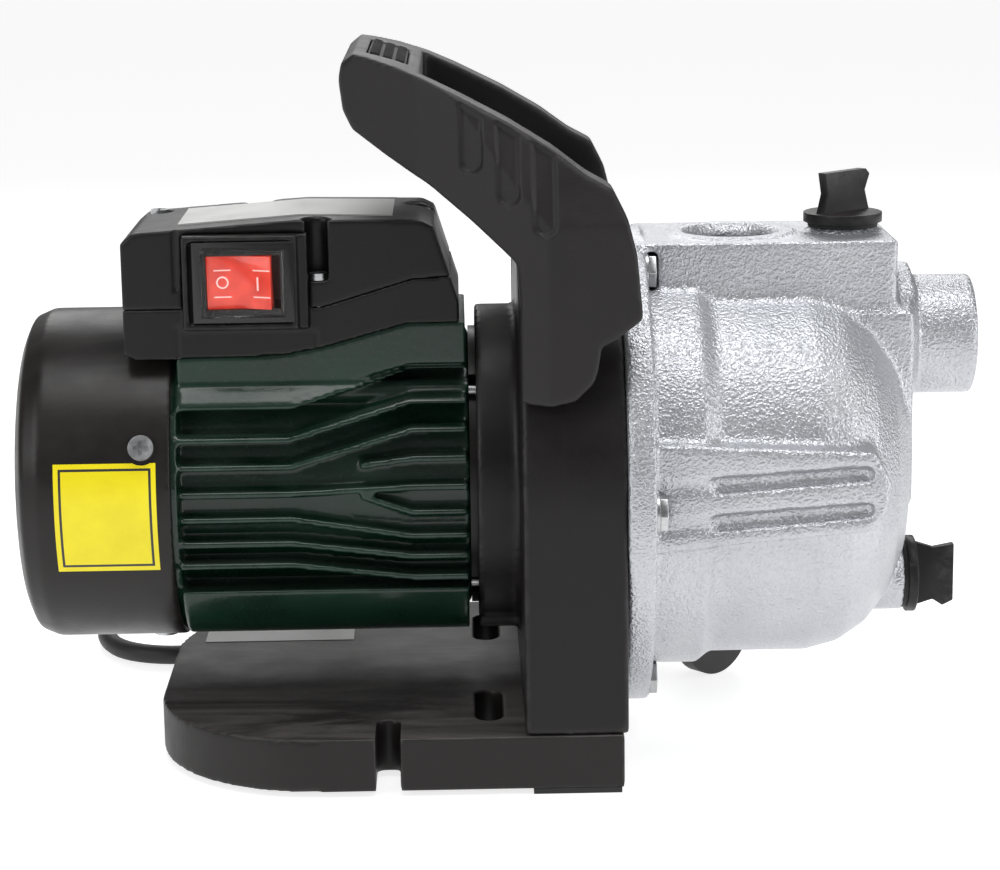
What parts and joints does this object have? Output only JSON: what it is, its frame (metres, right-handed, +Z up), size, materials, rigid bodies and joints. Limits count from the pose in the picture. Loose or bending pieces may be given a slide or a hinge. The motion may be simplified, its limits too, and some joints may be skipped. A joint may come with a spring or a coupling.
{
  "type": "shallow well jet pump",
  "caption": "Self-priming garden jet pump: finned motor with switch box, plastic bracket with carry handle on a foot plate, cast casing with suction and discharge ports, mains lead.",
  "frame": {"origin": "on the floor under the middle of the pump, leaving out the mains lead", "axes": "+X along the shaft towards the suction port, +Z up, -Y towards the switch side"},
  "size_m": [0.3472, 0.2998, 0.2559],
  "materials": {
    "cast_aluminium": "rough cast aluminium under silver paint, satin",
    "zinc_steel": "bright zinc plate",
    "black_rubber": "matte",
    "black_plastic": "warm black glass-filled plastic, satin",
    "base_plastic": "dusty dark grey glass-filled plastic",
    "grey_plastic": "dark warm grey with a fine moulded grain",
    "grip_rubber": "matte soft grip",
    "box_plastic": "near-black moulded plastic, satin",
    "natural_plastic": "natural glass-filled plastic",
    "brass_parts": "turned brass",
    "ceramic": "ground ceramic",
    "seal_carbon": "pressed carbon",
    "spring_steel": "stainless spring wire",
    "plain_label": "plain printed-blank label, satin",
    "yellow_label": "plain yellow label with a black border",
    "green_paint": "gloss dark green paint over die-cast aluminium",
    "satin_black": "satin black",
    "lamination_steel": "stacked laminations",
    "copper_wire": "enamelled copper wire",
    "bare_aluminium": "machined casting",
    "bearing_steel": "ground steel",
    "shaft_steel": "ground stainless steel",
    "fan_plastic": "moulded plastic",
    "capacitor_plastic": "white plastic can",
    "switch_plastic": "black switch frame",
    "red_rocker": "translucent red",
    "clear_cover": "soft clear splash cover",
    "cord_rubber": "matte black rubber sheath",
    "tie_plastic": "wire tie",
    "plated_brass": "nickel plate"
  },
  "bodies": {
    "pump_body": {"base_feet": "black_rubber", "base_label": "plain_label", "base_plate": "base_plastic", "base_screws": "zinc_steel", "cable_gland": "black_rubber", "capacitor": "capacitor_plastic", "casing_bolts": "zinc_steel", "casing_seal": "black_rubber", "casing_washers": "zinc_steel", "cord_coil": "cord_rubber", "cord_first_run": "cord_rubber", "cord_last_run": "cord_rubber", "cord_tie": "tie_plastic", "cover_label": "yellow_label", "diffuser": "natural_plastic", "fan_cover": "satin_black", "fan_cover_screws": "zinc_steel", "front_bearing_balls": "bearing_steel", "front_bearing_outer_ring": "bearing_steel", "front_shield": "satin_black", "grip_insert": "grip_rubber", "handle": "grey_plastic", "handle_screws": "zinc_steel", "jet_nozzle": "natural_plastic", "lid_label": "plain_label", "lid_screws": "zinc_steel", "mains_plug": "cord_rubber", "motor_housing": "green_paint", "motor_studs": "zinc_steel", "plug_pins": "plated_brass", "pump_bracket": "black_plastic", "pump_casing": "cast_aluminium", "rear_bearing_balls": "bearing_steel", "rear_bearing_outer_ring": "bearing_steel", "rear_shield": "bare_aluminium", "seal_seat": "ceramic", "stator_core": "lamination_steel", "stator_windings": "copper_wire", "switch_body": "switch_plastic", "switch_splash_cover": "clear_cover", "terminal_block": "natural_plastic", "terminal_box": "box_plastic", "terminal_box_lid": "box_plastic", "venturi_tube": "natural_plastic"},
    "rotor": {"motor_shaft": "shaft_steel", "rotor_core": "lamination_steel", "cooling_fan": "fan_plastic", "impeller": "natural_plastic", "impeller_nut": "brass_parts", "seal_head": "seal_carbon", "seal_spring": "spring_steel", "rear_bearing_inner_ring": "bearing_steel", "front_bearing_inner_ring": "bearing_steel"},
    "rocker": {"switch_rocker": "red_rocker"},
    "filler_seal": {"filler_plug_seal": "black_rubber"},
    "filler_cap": {"filler_plug": "black_plastic"},
    "drain_seal": {"drain_plug_seal": "black_rubber"},
    "drain_cap": {"drain_plug": "black_plastic"}
  },
  "joints": [
    {"name": "rotor_spin", "type": "hinge", "parent": "pump_body", "child": "rotor", "pos_m": [0, 0, 0.099], "axis": [1, 0, 0], "continuous": true},
    {"name": "switch_rock", "type": "hinge", "parent": "pump_body", "child": "rocker", "pos_m": [-0.09045, -0.042, 0.177], "axis": [0, 0, 1], "range_deg": [0, 20]},
    {"name": "filler_lift", "type": "slide", "parent": "pump_body", "child": "filler_seal", "axis": [0, 0, 1], "range_m": [0, 0.01]},
    {"name": "filler_turn", "type": "hinge", "parent": "filler_seal", "child": "filler_cap", "pos_m": [0.12635, 0, 0.187], "axis": [0, 0, 1], "range_deg": [0, 1800]},
    {"name": "drain_out", "type": "slide", "parent": "pump_body", "child": "drain_seal", "axis": [1, 0, 0], "range_m": [0, 0.01]},
    {"name": "drain_turn", "type": "hinge", "parent": "drain_seal", "child": "drain_cap", "pos_m": [0.14985, 0, 0.054], "axis": [1, 0, 0], "range_deg": [0, 1800]}
  ],
  "couplings": [
    {"joint": "filler_lift", "follows": "filler_turn", "m_per_rad": 0.00031831},
    {"joint": "drain_out", "follows": "drain_turn", "m_per_rad": 0.00031831}
  ]
}
